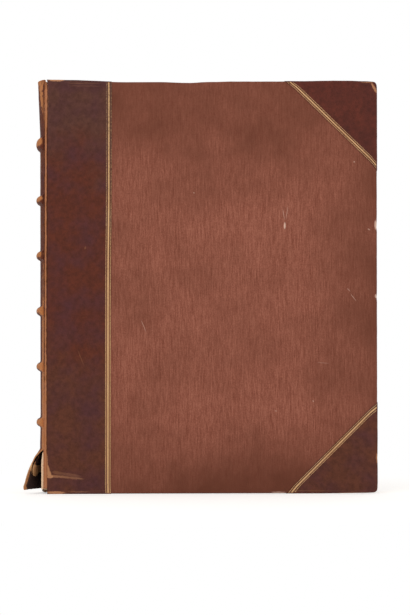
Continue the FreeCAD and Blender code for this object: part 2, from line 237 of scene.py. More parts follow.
class Finish:
    """What every finish shares: a named material, and how marks and grain get into it."""

    name: str

    def start(self) -> tuple[Material, Adder, Socket]:
        """Starts the material.

        Returns:
            The material, what adds a node to it, and the surface's coordinates.
        """
        material = bpy.data.materials.new(self.name)
        material.use_nodes = True
        material.node_tree.nodes.clear()
        add = partial(add_node, material.node_tree)
        return material, add, add("TexCoord", output="Object")

    @staticmethod
    def close(add: Adder, height: Socket, depth: float, **surface: Input) -> None:
        """Ends the material in one surface shader with its relief.

        Args:
            add: adds a node to the material.
            height: the relief, from 0 to 1.
            depth: how deep that relief is, in millimetres.
            surface: the shader's inputs, with underscores for spaces.
        """
        bump = add("Bump", {"Height": height, "Distance": depth * MM, "Strength": 1.0})
        inputs = {name.replace("_", " "): given for name, given in surface.items()}
        shader = add("BsdfPrincipled", {**inputs, "Normal": bump})
        add("OutputMaterial", {"Surface": shader})

    @staticmethod
    def layered(add: Adder, ground: str, *layers: tuple[Socket, Union[str, Socket]]) -> Socket:
        """Lays colours over one another.

        Args:
            add: adds a node to the material.
            ground: the hex value of the lowest colour.
            layers: each mask with the colour that it lets through, as a hex value or a socket.

        Returns:
            The colour that is seen.
        """
        seen = linear(ground)
        for mask, over in layers:
            top = linear(over) if isinstance(over, str) else over
            seen = add("Mix", {0: mask, 6: seen, 7: top}, data_type="RGBA")
        return seen

    @staticmethod
    def marked(add: Adder, coordinates: Socket, marks: tuple[Mark, ...], raggedness: float) -> Socket:
        """Where the marks are.

        Args:
            add: adds a node to the material.
            coordinates: the surface's coordinates.
            marks: the marks to draw.
            raggedness: how far their outlines wander, in millimetres.

        Returns:
            A mask, 1 in the middle of a mark and 0 outside them all.
        """
        wander = add(
            "TexNoise",
            {"Vector": coordinates, "Scale": per_metre(RAG_WIDTH), "Detail": 3.0, "Roughness": 0.7},
            output="Color")
        centred = add("VectorMath", {0: wander, 1: (0.5, 0.5, 0.5)}, operation="SUBTRACT")
        step = raggedness * MM
        moved = add(
            "VectorMath", {0: centred, 1: (step, step, step), 2: coordinates}, operation="MULTIPLY_ADD")
        total = 0.0
        for mark in marks:
            turned = (0.0, math.radians(mark.turn), 0.0)
            scale = tuple(reach * MM for reach in mark.reach)
            spot = add(
                "Mapping",
                {"Vector": moved, "Location": tuple(place(*mark.centre)), "Rotation": turned, "Scale": scale},
                vector_type="TEXTURE")
            away = add("VectorMath", {0: spot}, operation="LENGTH")
            mask = add(
                "MapRange", {"Value": away, 1: 1.0, 2: 0.55, 3: 0.0, 4: mark.strength},
                interpolation_type="SMOOTHSTEP")
            total = add("Math", {0: total, 1: mask}, operation="MAXIMUM")
        return total


@dataclass(frozen=True)
class CalfLeather(Finish):
    """Vegetable-tanned calf, dyed dark, glazed and aged.

    The glaze gives the eye a closed, faintly shining skin with a fine pebble. Handling and dry air
    have taken the dye off its edges down to the tan, and left mottling, scratches and soft patches.
    """

    name: str = "calf_leather_dyed_and_glazed"
    cool: str = "#603a2f"
    warm: str = "#652f1f"
    low: str = "#673928"
    stain: str = "#3a1e16"
    plum: str = "#542e34"
    tan: str = "#b3784a"
    pink: str = "#be8866"
    cloud_width: float = 45.0
    mottle_width: float = 3.2
    pore_width: float = 0.9
    skin_width: float = 20.0
    sheen: float = 0.15
    marks: tuple[Mark, ...] = ()
    bare: float = 0.0

    def build(self) -> Material:
        """The leather as a material."""
        material, add, coordinates = self.start()
        clouds = add(
            "TexNoise",
            {"Vector": coordinates, "Scale": per_metre(self.cloud_width), "Detail": 5.0, "Roughness": 0.65})
        mottle = add(
            "TexNoise",
            {"Vector": coordinates, "Scale": per_metre(self.mottle_width), "Detail": 4.0, "Roughness": 0.65})
        drift = add("TexNoise", {"Vector": coordinates, "Scale": per_metre(self.skin_width), "Detail": 3.0})
        pebble = add(
            "TexVoronoi", {"Vector": coordinates, "Scale": per_metre(self.pore_width), "Randomness": 1.0},
            feature="SMOOTH_F1")
        height = add("SeparateXYZ", {0: coordinates}, output="Z")
        up = add("Math", {0: clouds, 1: 0.16, 2: height}, operation="MULTIPLY_ADD")
        below_head = add("MapRange", {"Value": up, 1: 0.385, 2: 0.325}, interpolation_type="SMOOTHSTEP")
        near_tail = add("MapRange", {"Value": up, 1: 0.23, 2: 0.16}, interpolation_type="SMOOTHSTEP")
        faded = add("MapRange", {"Value": drift, 1: 0.42, 2: 0.7, 4: 0.75})
        patches = add("MapRange", {"Value": mottle, 1: 0.36, 2: 0.7, 4: 0.52})
        bare = self.bareness(add, coordinates, mottle)
        skin = self.layered(add, self.tan, (drift, self.pink))
        colour = self.layered(
            add, self.cool, (below_head, self.warm), (near_tail, self.low), (faded, self.plum),
            (patches, self.stain), (bare, skin))
        gloss = add("MapRange", {"Value": mottle, 1: 0.3, 2: 0.7, 3: 0.46, 4: 0.62})
        relief = add("Math", {0: pebble, 1: mottle}, operation="ADD")
        worn_down = add("Math", {0: relief, 1: bare}, operation="SUBTRACT")
        self.close(add, worn_down, 0.09, Base_Color=colour, Roughness=gloss, Specular_IOR_Level=self.sheen)
        return material

    def bareness(self, add: Adder, coordinates: Socket, mottle: Socket) -> Socket:
        """How far the dye is worn off, from the mesh's own wear, the marks and an even share.

        Args:
            add: adds a node to the material.
            coordinates: the surface's coordinates.
            mottle: fine noise that breaks the worn places up.

        Returns:
            A mask, 1 where the leather is bare.
        """
        wear = add("Attribute", output="Fac", attribute_name="wear")
        wear = add("Math", {0: wear, 1: self.bare}, operation="ADD")
        broken = add("Math", {0: wear, 1: mottle}, operation="ADD")
        rubbed = add("MapRange", {"Value": broken, 1: 0.75, 2: 1.2}, interpolation_type="SMOOTHSTEP")
        if not self.marks:
            return rubbed
        spots = self.marked(add, coordinates, self.marks, 1.6)
        return add("Math", {0: rubbed, 1: spots}, operation="MAXIMUM")


@dataclass(frozen=True)
class FleshSide(Finish):
    """The inner, unglazed side of the old leather, blackened by old glue and by painted shade. It looks dull
    and dry.
    """

    name: str = "leather_flesh_side_with_old_glue"
    # painted shade: the near-black ground stands in for the shadow in the hollow under the torn flap, over
    # the old glue
    dark: str = "#2b1209"
    brown: str = "#5a3018"
    clean: str = "#c08455"
    fibre_width: float = 2.5

    def build(self) -> Material:
        """The flesh side as a material."""
        material, add, coordinates = self.start()
        fibre = add(
            "TexNoise",
            {"Vector": coordinates, "Scale": per_metre(self.fibre_width), "Detail": 6.0, "Roughness": 0.75})
        worn = add("MapRange", {"Value": fibre, 1: 0.5, 2: 0.8})
        wear = add("Attribute", output="Fac", attribute_name="wear")
        broken = add("Math", {0: wear, 1: fibre}, operation="ADD")
        pale = add("MapRange", {"Value": broken, 1: 0.8, 2: 1.15}, interpolation_type="SMOOTHSTEP")
        colour = self.layered(add, self.dark, (worn, self.brown), (pale, self.clean))
        self.close(add, fibre, 0.3, Base_Color=colour, Roughness=0.95)
        return material


@dataclass(frozen=True)
class RibbedCloth(Finish):
    """Cotton book cloth, woven with a vertical rib, dyed red-brown and stiffened with size.

    The ribs give the eye short upright streaks. Threads are about 0.5 mm apart in real cloth. They
    are drawn 0.85 mm wide here, because finer ones don't show.
    """

    name: str = "cotton_book_cloth_ribbed_and_sized"
    shade: str = "#7c4232"
    light: str = "#ab6b57"
    soil: str = "#6c3c2c"
    core: str = "#d9b3a0"
    rib_width: float = 0.85
    rib_length: float = 9.0
    marks: tuple[Mark, ...] = ()

    def build(self) -> Material:
        """The cloth as a material."""
        material, add, coordinates = self.start()
        ribs = self.streaks(add, coordinates, self.rib_width, self.rib_length)
        grain = self.streaks(add, coordinates, self.rib_width, self.rib_width * 1.3)
        slubs = self.streaks(add, coordinates, self.rib_width * 1.4, self.rib_length * 3.0)
        woven = add("Math", {0: grain, 1: 0.85, 2: ribs}, operation="MULTIPLY_ADD")
        woven = add("Math", {0: slubs, 1: 0.35, 2: woven}, operation="MULTIPLY_ADD")
        tone = add("MapRange", {"Value": woven, 1: 0.74, 2: 1.46})
        # painted shade: the mask darkens the cloth towards its edges where the light falls off, with broad
        # clouds of uneven tone
        dirt = self.soiling(add, coordinates)
        scuffs = self.marked(add, coordinates, self.marks, 0.7)
        colour = self.layered(add, self.shade, (tone, self.light), (dirt, self.soil), (scuffs, self.core))
        self.close(add, woven, 0.12, Base_Color=colour, Roughness=0.82, Specular_IOR_Level=0.15)
        return material

    @staticmethod
    def streaks(add: Adder, coordinates: Socket, across: float, along: float) -> Socket:
        """Noise drawn out in one direction, like threads.

        Args:
            add: adds a node to the material.
            coordinates: the surface's coordinates.
            across: width of a streak along x and y, in millimetres.
            along: its length along z, in millimetres.

        Returns:
            The noise, from 0 to 1.
        """
        drawn = add(
            "Mapping",
            {"Vector": coordinates, "Scale": (per_metre(across), per_metre(across), per_metre(along))})
        return add("TexNoise", {"Vector": drawn, "Scale": 1.0, "Detail": 2.0, "Roughness": 0.5})

    @staticmethod
    def soiling(add: Adder, coordinates: Socket) -> Socket:
        """Where the cloth is darker: painted shade towards the head, the tail and the fore-edge, and broad
        clouds.

        Args:
            add: adds a node to the material.
            coordinates: the surface's coordinates.

        Returns:
            A mask of the painted shade and the clouds.
        """
        edge = place(COVER_WIDTH, 0, COVER_HEIGHT)
        # painted shade: broad darkening towards the head, the tail and the fore-edge stands in for the light
        # falling off there
        rims = (("Z", edge.z - 0.11, edge.z, 0.56), ("Z", 0.06, 0.0, 0.75), ("X", edge.x - 0.06, edge.x, 0.6))
        rim = 0.0
        for axis, clean, dirty, share in rims:
            along = add("SeparateXYZ", {0: coordinates}, output=axis)
            reached = add("MapRange", {"Value": along, 1: clean, 2: dirty, 4: share})
            rim = add("Math", {0: rim, 1: reached}, operation="MAXIMUM")
        clouds = add(
            "TexNoise",
            {"Vector": coordinates, "Scale": per_metre(CLOTH_STAIN_WIDTH), "Detail": 5.0, "Roughness": 0.6})
        spread = add("MapRange", {"Value": clouds, 1: 0.35, 2: 0.75, 3: -0.12, 4: 0.5})
        return add("Math", {0: rim, 1: spread}, operation="ADD", use_clamp=True)


@dataclass(frozen=True)
class GoldLeaf(Finish):
    """Gold leaf, pressed into the leather with a hot roll and rubbed since.

    It gives the eye dull gold lines, brighter where the leaf is whole, and brown where it has gone.
    """

    name: str = "gold_leaf_tooled_and_rubbed"
    bright: str = "#e8bf8c"
    dull: str = "#bb8a5c"
    bared: str = "#6a4630"
    drift_width: float = 22.0
    speck_width: float = 1.1

    def build(self) -> Material:
        """The gilding as a material."""
        material, add, coordinates = self.start()
        drift = add(
            "TexNoise",
            {"Vector": coordinates, "Scale": per_metre(self.drift_width), "Detail": 4.0, "Roughness": 0.6})
        speck = add(
            "TexNoise",
            {"Vector": coordinates, "Scale": per_metre(self.speck_width), "Detail": 4.0, "Roughness": 0.7})
        rub = add("Attribute", output="Fac", attribute_name="rub")
        gone = add("Math", {0: speck, 1: rub}, operation="ADD")
        holes = add("MapRange", {"Value": gone, 1: 0.62, 2: 0.95}, interpolation_type="SMOOTHSTEP")
        colour = self.layered(add, self.bright, (drift, self.dull), (holes, self.bared))
        metal = add("MapRange", {"Value": holes, 3: 0.75, 4: 0.0})
        self.close(add, speck, 0.05, Base_Color=colour, Metallic=metal, Roughness=0.5)
        return material


@dataclass(frozen=True)
class Paper(Finish):
    """Old paper: rag or wood fibre, pressed smooth, and browned from its edges inwards.

    Seen flat it is cloudy and matt. Seen on its cut edges, the leaves make fine lines. Real leaves are
    about 0.1 mm thick. They are drawn in groups of about 0.5 mm here, because single ones don't show.
    """

    name: str = "aged_paper_pressed"
    fresh: str = "#dcc9a4"
    browned: str = "#a98a5e"
    cloud_width: float = 14.0
    leaf_width: float = 0.0
    leaf_length: float = 60.0

    def build(self) -> Material:
        """The paper as a material."""
        material, add, coordinates = self.start()
        fibre = add(
            "TexNoise",
            {"Vector": coordinates, "Scale": per_metre(self.cloud_width), "Detail": 7.0, "Roughness": 0.65})
        shade, relief, depth = fibre, fibre, 0.05
        if self.leaf_width:
            even = per_metre(self.leaf_length)
            across = (even, per_metre(self.leaf_width), even)
            drawn = add("Mapping", {"Vector": coordinates, "Scale": across})
            leaves = add("TexNoise", {"Vector": drawn, "Scale": 1.0, "Detail": 3.0, "Roughness": 0.7})
            shade = add("Math", {0: shade, 1: 0.5, 2: leaves}, operation="MULTIPLY_ADD")
            shade = add("MapRange", {"Value": shade, 1: 0.45, 2: 1.05})
            relief, depth = leaves, 0.25
        colour = self.layered(add, self.fresh, (shade, self.browned))
        self.close(add, relief, depth, Base_Color=colour, Roughness=0.9)
        return material


@dataclass(frozen=True)
class WoundThread(Finish):
    """Silk thread, wound by hand in two colours round a core, browned by dust and darkened with painted
    shade. It shows as fine turns.
    """

    name: str = "silk_thread_wound_in_two_colours"
    # painted shade: both colours are darker than the silk, standing in for the dark hollow round the endband
    # at the tail
    first: str = "#4e2418"
    second: str = "#7c5a38"
    turn_width: float = 1.4

    def build(self) -> Material:
        """The winding as a material."""
        material, add, coordinates = self.start()
        drawn = add("Mapping", {"Vector": coordinates, "Scale": (0.0, 1.0, 0.0)})
        turns = add(
            "TexWave", {"Vector": drawn, "Scale": per_metre(self.turn_width) / WAVE_SCALE}, output="Fac",
            bands_direction="Y")
        strands = add(
            "TexWave", {"Vector": drawn, "Scale": per_metre(self.turn_width / 4) / WAVE_SCALE}, output="Fac",
            bands_direction="Y")
        choice = add("MapRange", {"Value": turns, 1: 0.45, 2: 0.55})
        colour = self.layered(add, self.first, (choice, self.second))
        self.close(add, strands, 0.2, Base_Color=colour, Roughness=0.7, Sheen_Weight=0.2)
        return material


@dataclass(frozen=True)
class TwistedHemp(Finish):
    """Hemp cord, twisted and hammered flat at its ends. It looks pale, stringy and dry."""

    name: str = "hemp_cord_twisted"
    pale: str = "#b39a6c"
    dark: str = "#7a6240"
    strand_width: float = 1.2
    twist: float = 35.0

    def build(self) -> Material:
        """The hemp as a material."""
        material, add, coordinates = self.start()
        twist = math.radians(self.twist)
        lay = add("Mapping", {"Vector": coordinates, "Rotation": (0.0, twist, twist)})
        strands = add(
            "TexWave", {"Vector": lay, "Scale": per_metre(self.strand_width) / WAVE_SCALE, "Distortion": 2.0},
            output="Fac")
        colour = self.layered(add, self.dark, (strands, self.pale))
        self.close(add, strands, 0.3, Base_Color=colour, Roughness=0.95)
        return material


LEATHER_MARKS = tuple(
    on_front(*stroke)
    for stroke in (
        (0.4, 329.6, 14.0, 329.8, 2.6),
        (0.0, 329.0, 0.1, 300.0, 0.8, 0.4),
        (-0.2, 1.2, 14.6, 0.9, 3.2),
        (-0.4, 33, 0.3, 20, 1.8),
        (-0.2, 24, 1.4, 14.0, 3.6),
        (0.2, 20, 3.0, 13.6, 3.4),
        (0.2, 13.8, 4.6, 14.0, 3.0),
        (2.0, 14.6, 14, 13.4, 2.4, 0.5),
        (8, 14.2, 20, 12.8, 2.4, 0.42),
        (15, 13.4, 29.5, 12.0, 2.2, 0.36),
        # These two weak strokes lighten the leather above the long scrape: a faint smear with painted pinkish
        # highlights.
        (4, 17.6, 15, 15.8, 3.0, 0.2),
        (10, 16.4, 27, 14.0, 3.0, 0.18),
        (48.9, -60.0, 48.3, 215.0, 5.6, 0.42),
        (193.4, 328.5, 262.5, 262.5, 3.6, 0.14),
        (195.5, 1.5, 262.5, 68.5, 3.6, 0.16),
        (15, 1.9, 36, 1.7, 1.0, 0.3),
        (14, 2.7, 258, 2.3, 0.6, 0.22),
        (13, 327.4, 45, 327.2, 0.8, 0.2),
        (13, 325.2, 45, 325.0, 0.8, 0.12),
        (24, 115, 29, 102, 0.9, 0.15),
        (30, 195, 30.4, 196.5, 1.6, 0.2),
        (259.5, 328.6, 263.6, 321.0, 2.4, 0.9),
        (262, 329.2, 250, 329.7, 1.2, 0.5),
        (263.2, 32.4, 263.4, 23.8, 1.8, 0.7),
        (226, 0.6, 262, 0.5, 1.4, 0.4),
    )
) + (
    Mark((262.2, COVER_HALF, 326.5), (3.4, 6.0, 1.6), 55.0, 0.8),
    Mark((262.4, COVER_HALF, 3.0), (3.2, 6.0, 1.5), -50.0, 0.8),
    Mark((7.0, COVER_HALF, 329.6), (9.0, 5.0, 1.2), 0.0, 0.8),
    Mark((9.0, COVER_HALF, 0.8), (11.0, 5.0, 1.3), 0.0, 0.8),
)
CLOTH_MARKS = tuple(
    on_front(*stroke)
    for stroke in (
        (189.5, 216.4, 189.6, 211.6, 1.8, 1.0),
        (187.8, 227.8, 189.6, 217.8, 0.7, 0.45),
        (192.2, 230.5, 190.4, 218.5, 0.7, 0.4),
        (239.4, 164.1, 242.2, 161.5, 0.7, 0.4),
        (242.0, 160.0, 247.1, 153.5, 0.7, 0.45),
        (74.3, 139.2, 79.0, 127.8, 0.7, 0.4),
        (245.2, 265.5, 245.6, 265.5, 1.2, 0.55),
        (212.0, 73.8, 212.4, 73.6, 1.2, 0.5),
        (116.6, 240.2, 117.0, 240.0, 1.2, 0.4),
        (181.5, 66.0, 183.0, 65.8, 0.9, 0.4),
        (214.6, 104.6, 225.8, 103.8, 0.6, 0.25),
        (262.6, 218.0, 262.9, 211.4, 2.6, 0.95),
        (256.6, 211.6, 258.0, 210.8, 1.2, 0.5),
        (262.5, 158.8, 262.8, 156.6, 1.8, 0.8),
        (178, 1.0, 191, 0.9, 1.4, 0.6),
        (233.2, 1.8, 233.6, 1.8, 1.6, 0.8),
    )
)
SPINE_MARKS = (
    Mark((-6.8, 0.0, 329.5), (4.0, 22.0, 2.2), 0.0, 0.7),
    Mark((-5.0, 19.0, 322.0), (1.4, 3.0, 9.0), 0.0, 0.6),
)


class Finishes:
    """The finishes of the book, each made once."""

    def __init__(self) -> None:
        """Makes every material of the book."""
        self.leather = CalfLeather(marks=LEATHER_MARKS).build()
        self.spine_leather = CalfLeather(
            name="calf_leather_of_the_spine", cool="#763f2a", warm="#783f25", low="#79432b", tan="#c07a44",
            pink="#c8875c", sheen=0.03, marks=SPINE_MARKS).build()
        self.joint_leather = CalfLeather(
            name="calf_leather_cracked_at_the_joint", cool="#5f331f", warm="#5f331f", low="#6b3d20",
            tan="#b06f42", pink="#b97e5e", skin_width=6.0, sheen=0.08, bare=0.26).build()
        self.corner_leather = CalfLeather(
            name="calf_leather_of_the_corners", cool="#672f23", warm="#672f22", plum="#502520",
            marks=LEATHER_MARKS).build()
        self.torn_leather = CalfLeather(
            name="calf_leather_torn_edge", tan="#b0784e", pink="#c99a70", skin_width=5.0, bare=0.6).build()
        self.flesh = FleshSide().build()
        self.cloth = RibbedCloth(marks=CLOTH_MARKS).build()
        self.gilt = GoldLeaf().build()
        self.leaves = Paper(
            name="aged_paper_cut_leaves", fresh="#e6cfa8", browned="#b08a5e", leaf_width=0.5).build()
        # painted shade: the folds at the back of the block are dark brown for the old glue and for the shadow
        # in the hollow under the torn flap
        self.glued = Paper(
            name="leaf_folds_with_old_glue", fresh="#6d4529", browned="#2b170d", leaf_width=0.5).build()
        self.endpaper = Paper(name="aged_endpaper", fresh="#dcc3a0", browned="#b8966e").build()
        # painted light: the lining and the scrap are lighter than the aged paper's own colour, to lift them
        # in the shaded hollow at the tail
        self.lining = Paper(name="spine_lining_paper", fresh="#ffe2c0", browned="#efbf94").build()
        self.scrap = Paper(name="spine_lining_scrap_glued", fresh="#f6cd98", browned="#d09760").build()
        self.board = Paper(name="pulp_board_pressed", fresh="#b99a72", browned="#8d6f4b").build()
        self.silk = WoundThread().build()
        self.hemp = TwistedHemp().build()


class WorkedPiece:
    """A mesh that can be shaped and worn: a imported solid's, cut finely, or a strip of its own."""

    def __init__(self) -> None:
        """Starts the piece, empty."""
        self.mesh = bmesh.new()

    @classmethod
    def copied(cls, node: str) -> "WorkedPiece":
        """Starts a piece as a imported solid.

        Args:
            node: the solid's name.

        Returns:
            The piece, with the solid's mesh merged into its fewest faces.
        """
        piece = cls()
        mesh = piece.mesh
        mesh.from_mesh(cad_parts[node].data)
        bmesh.ops.remove_doubles(mesh, verts=mesh.verts, dist=1e-6)
        flat = math.radians(0.4)
        bmesh.ops.dissolve_limit(mesh, angle_limit=flat, verts=mesh.verts, edges=mesh.edges)
        return piece

    @classmethod
    def strip(cls, across: int, along: int, spot: Callable[[float, float], Vector]) -> "WorkedPiece":
        """Starts a piece as one layer of faces.

        Args:
            across: how many faces there are from one long edge to the other.
            along: how many there are from its tail to its head.
            spot: gives the place of a vertex from its shares across and along the strip.

        Returns:
            The piece.
        """
        piece = cls()
        bmesh.ops.create_grid(piece.mesh, x_segments=across, y_segments=along, size=0.5)
        for vertex in piece.mesh.verts:
            vertex.co = spot(vertex.co.x + 0.5, vertex.co.y + 0.5)
        return piece

    def slice(self, axis: Axis, step: float, low: float = -math.inf, high: float = math.inf) -> None:
        """Cuts the mesh with parallel planes.

        Args:
            axis: the direction across the planes.
            step: the distance between them, in millimetres.
            low: where they start in the book, if not at the piece's own end.
            high: where they end.
        """
        along = [in_book(vertex.co)[axis.value] for vertex in self.mesh.verts]
        low, high = max(low, min(along)), min(high, max(along))
        count = max(1, round((high - low) / step))
        normal = [0.0, 0.0, 0.0]
        normal[axis.value] = 1.0
        for number in range(1, count):
            spot = [0.0, 0.0, 0.0]
            spot[axis.value] = low + (high - low) * number / count
            geometry = self.mesh.verts[:] + self.mesh.edges[:] + self.mesh.faces[:]
            bmesh.ops.bisect_plane(
                self.mesh, geom=geometry, dist=1e-7, plane_co=place(*spot), plane_no=normal)

    def shape(self, move: Mover) -> None:
        """Moves every vertex.

        Args:
            move: gives where a point of the book goes, in millimetres.
        """
        for vertex in self.mesh.verts:
            vertex.co = place(*move(in_book(vertex.co)))

    def made(self, name: str, *materials: Material, smooth: float = 35.0) -> Piece:
        """Ends the mesh as an object.

        Args:
            name: the piece's name.
            materials: its finishes, in the order of its faces' indices.
            smooth: the angle in degrees below which edges look rounded.

        Returns:
            The new object, at the origin.
        """
        data = bpy.data.meshes.new(name)
        self.mesh.to_mesh(data)
        self.mesh.free()
        if "custom_normal" in data.attributes:
            data.attributes.remove(data.attributes["custom_normal"])
        for material in materials:
            data.materials.append(material)
        data.shade_smooth()
        data.set_sharp_from_angle(angle=math.radians(smooth))
        piece = bpy.data.objects.new(name, data)
        bpy.context.scene.collection.objects.link(piece)
        return piece


def paint(piece: Piece, name: str, amount: Callable[[Vector], float]) -> None:
    """Gives each vertex of a piece a number that its finish reads.

    Args:
        piece: the finished piece.
        name: the attribute's name.
        amount: gives the number at a point of the book, in millimetres.
    """
    layer = piece.data.attributes.new(name, "FLOAT", "POINT")
    values = [amount(in_book(vertex.co)) for vertex in piece.data.vertices]
    layer.data.foreach_set("value", values)


def edge_paper(side: Side, name: str, face: float, middle: float, body: str, material: Material) -> Piece:
    """Makes the paper over an edge at the joint, which shows when a cover is open.

    Args:
        side: which side of the book it is on.
        name: the piece's name without the side.
        face: how far it stands from the hinge line, in millimetres.
        middle: how far its middle is from the middle of the book.
        body: the body that it rides on.
        material: its finish.

    Returns:
        The new piece.
    """

    def spot(across: float, along: float) -> Vector:
        """Where a vertex of the paper is.

        Args:
            across: its share of the way over the paper's width.
            along: its share of the way up the paper.

        Returns:
            The point in Blender's frame.
        """
        y = side.outward * (middle + (across - 0.5) * EDGE_PAPER_WIDTH)
        z = COVER_HEIGHT / 2 + (along - 0.5) * EDGE_PAPER_LENGTH
        return place(face * (1 - 0.3 * rough(Vector((0, y, z)), 9.0)), y, z)

    made = WorkedPiece.strip(2, 40, spot).made(f"{side.value}_{name}", material)
    thick = made.modifiers.new("thickness", "SOLIDIFY")
    thick.thickness = EDGE_PAPER_THICKNESS * MM
    thick.offset = 0.0
    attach(made, body)
    return made


def dress(node: str, material: Material) -> None:
    """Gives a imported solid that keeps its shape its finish.

    Args:
        node: the solid's name.
        material: its finish.
    """
    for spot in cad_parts[node].material_slots:
        spot.material = material


@dataclass(frozen=True)
class Fillet:
    """The triple gilt line of one leather piece, and how its hand-rolled lines really lie.

    Args:
        origin: a point on its middle line, as x and z.
        normal: the direction across it, towards the leather.
        lines: where the edges of its lines are, as drawn and as they are, from its middle out.
        tail_drift: how far its lower half has run towards the leather.
        head_drift: how far its upper half has.
    """

    origin: tuple[float, float]
    normal: tuple[float, float]
    lines: tuple[tuple[float, float], ...]
    tail_drift: float
    head_drift: float

    def across(self, point: Vector) -> float:
        """How far a point is from the middle line, towards the leather."""
        return (point.x - self.origin[0]) * self.normal[0] + (point.z - self.origin[1]) * self.normal[1]

    def drifted(self, point: Vector) -> Vector:
        """Where a point beside the lines goes, because the roll didn't run where it was meant to.

        Args:
            point: the point in the book, in millimetres.

        Returns:
            The point, moved across the lines with all that lies beside them.
        """
        drift = self.tail_drift + (self.head_drift - self.tail_drift) * ease(160, 240, point.z)
        inside = min(COVER_WIDTH - point.x, COVER_HEIGHT - point.z, point.z)
        drift *= ease(16.0, 4.0, abs(self.across(point))) * ease(1.0, 6.0, inside)
        return point + Vector((self.normal[0], 0.0, self.normal[1])) * drift

    def respaced(self, point: Vector) -> Vector:
        """Where a point near the lines goes.

        Args:
            point: the point in the book, in millimetres.

        Returns:
            The point, moved across the lines.
        """
        across = self.across(point)
        far = abs(across)
        for (drawn0, real0), (drawn1, real1) in zip(self.lines, self.lines[1:]):
            if drawn0 <= far <= drawn1:
                real = real0 + (real1 - real0) * (far - drawn0) / (drawn1 - drawn0)
                shift = (real - far) * math.copysign(1.0, across)
                return point + Vector((self.normal[0], 0.0, self.normal[1])) * shift
        return point


WIDE_LINES = ((0.0, 0.0), (0.5, 0.68), (1.7, 1.6), (2.2, 2.1), (2.4, 2.4))
CLOSE_LINES = ((0.0, 0.0), (0.5, 0.55), (1.7, 1.35), (2.2, 1.8), (2.4, 2.4))
FILLETS = {
    "spine_side": Fillet((48.6, 0.0), (-1.0, 0.0), WIDE_LINES, 0.35, -0.15),
    "head_corner": Fillet((193.0, 330.0), (0.6917, 0.7222), CLOSE_LINES, 0.75, 0.75),
    "tail_corner": Fillet((194.0, 0.0), (0.7046, -0.7096), CLOSE_LINES, -0.7, -0.7),
}


